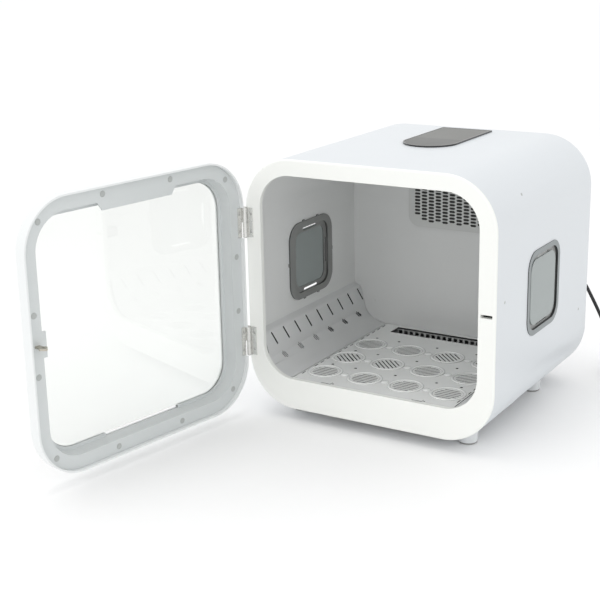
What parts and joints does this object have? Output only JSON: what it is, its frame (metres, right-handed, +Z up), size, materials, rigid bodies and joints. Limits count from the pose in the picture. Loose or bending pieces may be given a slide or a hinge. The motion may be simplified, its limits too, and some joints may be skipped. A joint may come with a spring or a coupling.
{
  "type": "warm-air drying cabinet",
  "caption": "Boxy white warm-air drying cabinet with rounded edges, a see-through door hinged open, a slotted floor plate, side air ducts, side windows and a touch panel on top.",
  "frame": {"origin": "on the surface the cabinet stands on, under the middle of the closed cabinet body's footprint; the door, cord, coil and plug are not counted", "axes": "+X to the cabinet's right as seen from the front, +Y to the back, +Z up"},
  "size_m": [0.6656, 0.9712, 0.4528],
  "materials": {
    "shell": "satin",
    "frame_plastic": "satin",
    "chamber_plastic": "satin",
    "duct_plastic": "satin",
    "floor_plastic": "satin",
    "base_plastic": "moulded",
    "grille_plastic": "moulded",
    "filter_fleece": "pleated",
    "bezel_plastic": "satin",
    "window_pane": "smoked clear plastic",
    "clip_plastic": "satin",
    "panel_rim": "gloss",
    "panel_lens": "gloss tinted",
    "board": "solder mask",
    "foot_plastic": "moulded",
    "pad_rubber": "matt",
    "screw_steel": "bright",
    "works_plastic": "moulded",
    "motor_steel": "plated",
    "rotor_plastic": "moulded",
    "duct_steel": "galvanised",
    "heater_alloy": "finned",
    "hinge_steel": "brushed",
    "pin_steel": "turned",
    "door_white": "satin",
    "door_grey": "satin",
    "door_clear": "clear acrylic",
    "plug_grey": "moulded",
    "striker_steel": "stamped",
    "spring_steel": "drawn",
    "latch_plastic": "moulded",
    "cord_black": "satin",
    "plug_black": "moulded"
  },
  "bodies": {
    "cabinet": {"outer_shell": "shell", "front_frame": "frame_plastic", "inner_liner": "chamber_plastic", "back_wall": "chamber_plastic", "base_plate": "base_plastic", "rear_cover": "shell", "side_duct_left": "duct_plastic", "side_duct_right": "duct_plastic", "outlet_grille": "grille_plastic", "intake_grille": "grille_plastic", "air_filter": "filter_fleece", "window_bezel_left": "bezel_plastic", "window_bezel_right": "bezel_plastic", "window_pane_left": "window_pane", "window_pane_right": "window_pane", "window_clip_left": "clip_plastic", "window_clip_right": "clip_plastic", "panel_surround": "panel_rim", "control_panel": "panel_lens", "display_board": "board", "foot_front_left": "foot_plastic", "foot_front_right": "foot_plastic", "foot_rear_left": "foot_plastic", "foot_rear_right": "foot_plastic", "foot_pad_front_left": "pad_rubber", "foot_pad_front_right": "pad_rubber", "foot_pad_rear_left": "pad_rubber", "foot_pad_rear_right": "pad_rubber", "shell_screws": "screw_steel", "main_board": "board", "blower_housing": "works_plastic", "blower_motor": "motor_steel", "heater_duct": "duct_steel", "ptc_heater": "heater_alloy", "temperature_probe": "screw_steel", "hinge_leaf_frame_upper": "hinge_steel", "hinge_leaf_frame_lower": "hinge_steel", "hinge_pin_upper": "pin_steel", "hinge_pin_lower": "pin_steel", "hinge_screws_frame": "screw_steel", "latch_housing": "latch_plastic", "latch_spring": "spring_steel", "strain_relief": "cord_black", "power_cord": "cord_black", "power_cord_coil": "cord_black", "cord_tie": "cord_black", "plug": "plug_black"},
    "door": {"hinge_leaf_door_upper": "hinge_steel", "hinge_leaf_door_lower": "hinge_steel", "hinge_screws_door": "screw_steel", "door_frame": "door_white", "door_ring": "door_grey", "door_pane": "door_clear", "door_plugs": "plug_grey", "latch_striker": "striker_steel"},
    "rotor": {"blower_rotor": "rotor_plastic"},
    "floor": {"floor_plate": "floor_plastic"},
    "plunger": {"latch_plunger": "latch_plastic"}
  },
  "joints": [
    {"name": "door_hinge", "type": "hinge", "parent": "cabinet", "child": "door", "pos_m": [-0.224, -0.219, 0.235], "axis": [0, 0, -1], "range_deg": [-100, 50]},
    {"name": "rotor_spin", "type": "hinge", "parent": "cabinet", "child": "rotor", "pos_m": [-0.018, 0.1595, 0.335], "axis": [0, 1, 0], "continuous": true},
    {"name": "floor_lift", "type": "slide", "parent": "cabinet", "child": "floor", "axis": [0, 0, 1], "range_m": [0, 0.1]},
    {"name": "plunger_press", "type": "slide", "parent": "cabinet", "child": "plunger", "axis": [0, 1, 0], "range_m": [0, 0.004], "stiffness_N_per_m": 300, "deforming": ["latch_spring"]}
  ]
}
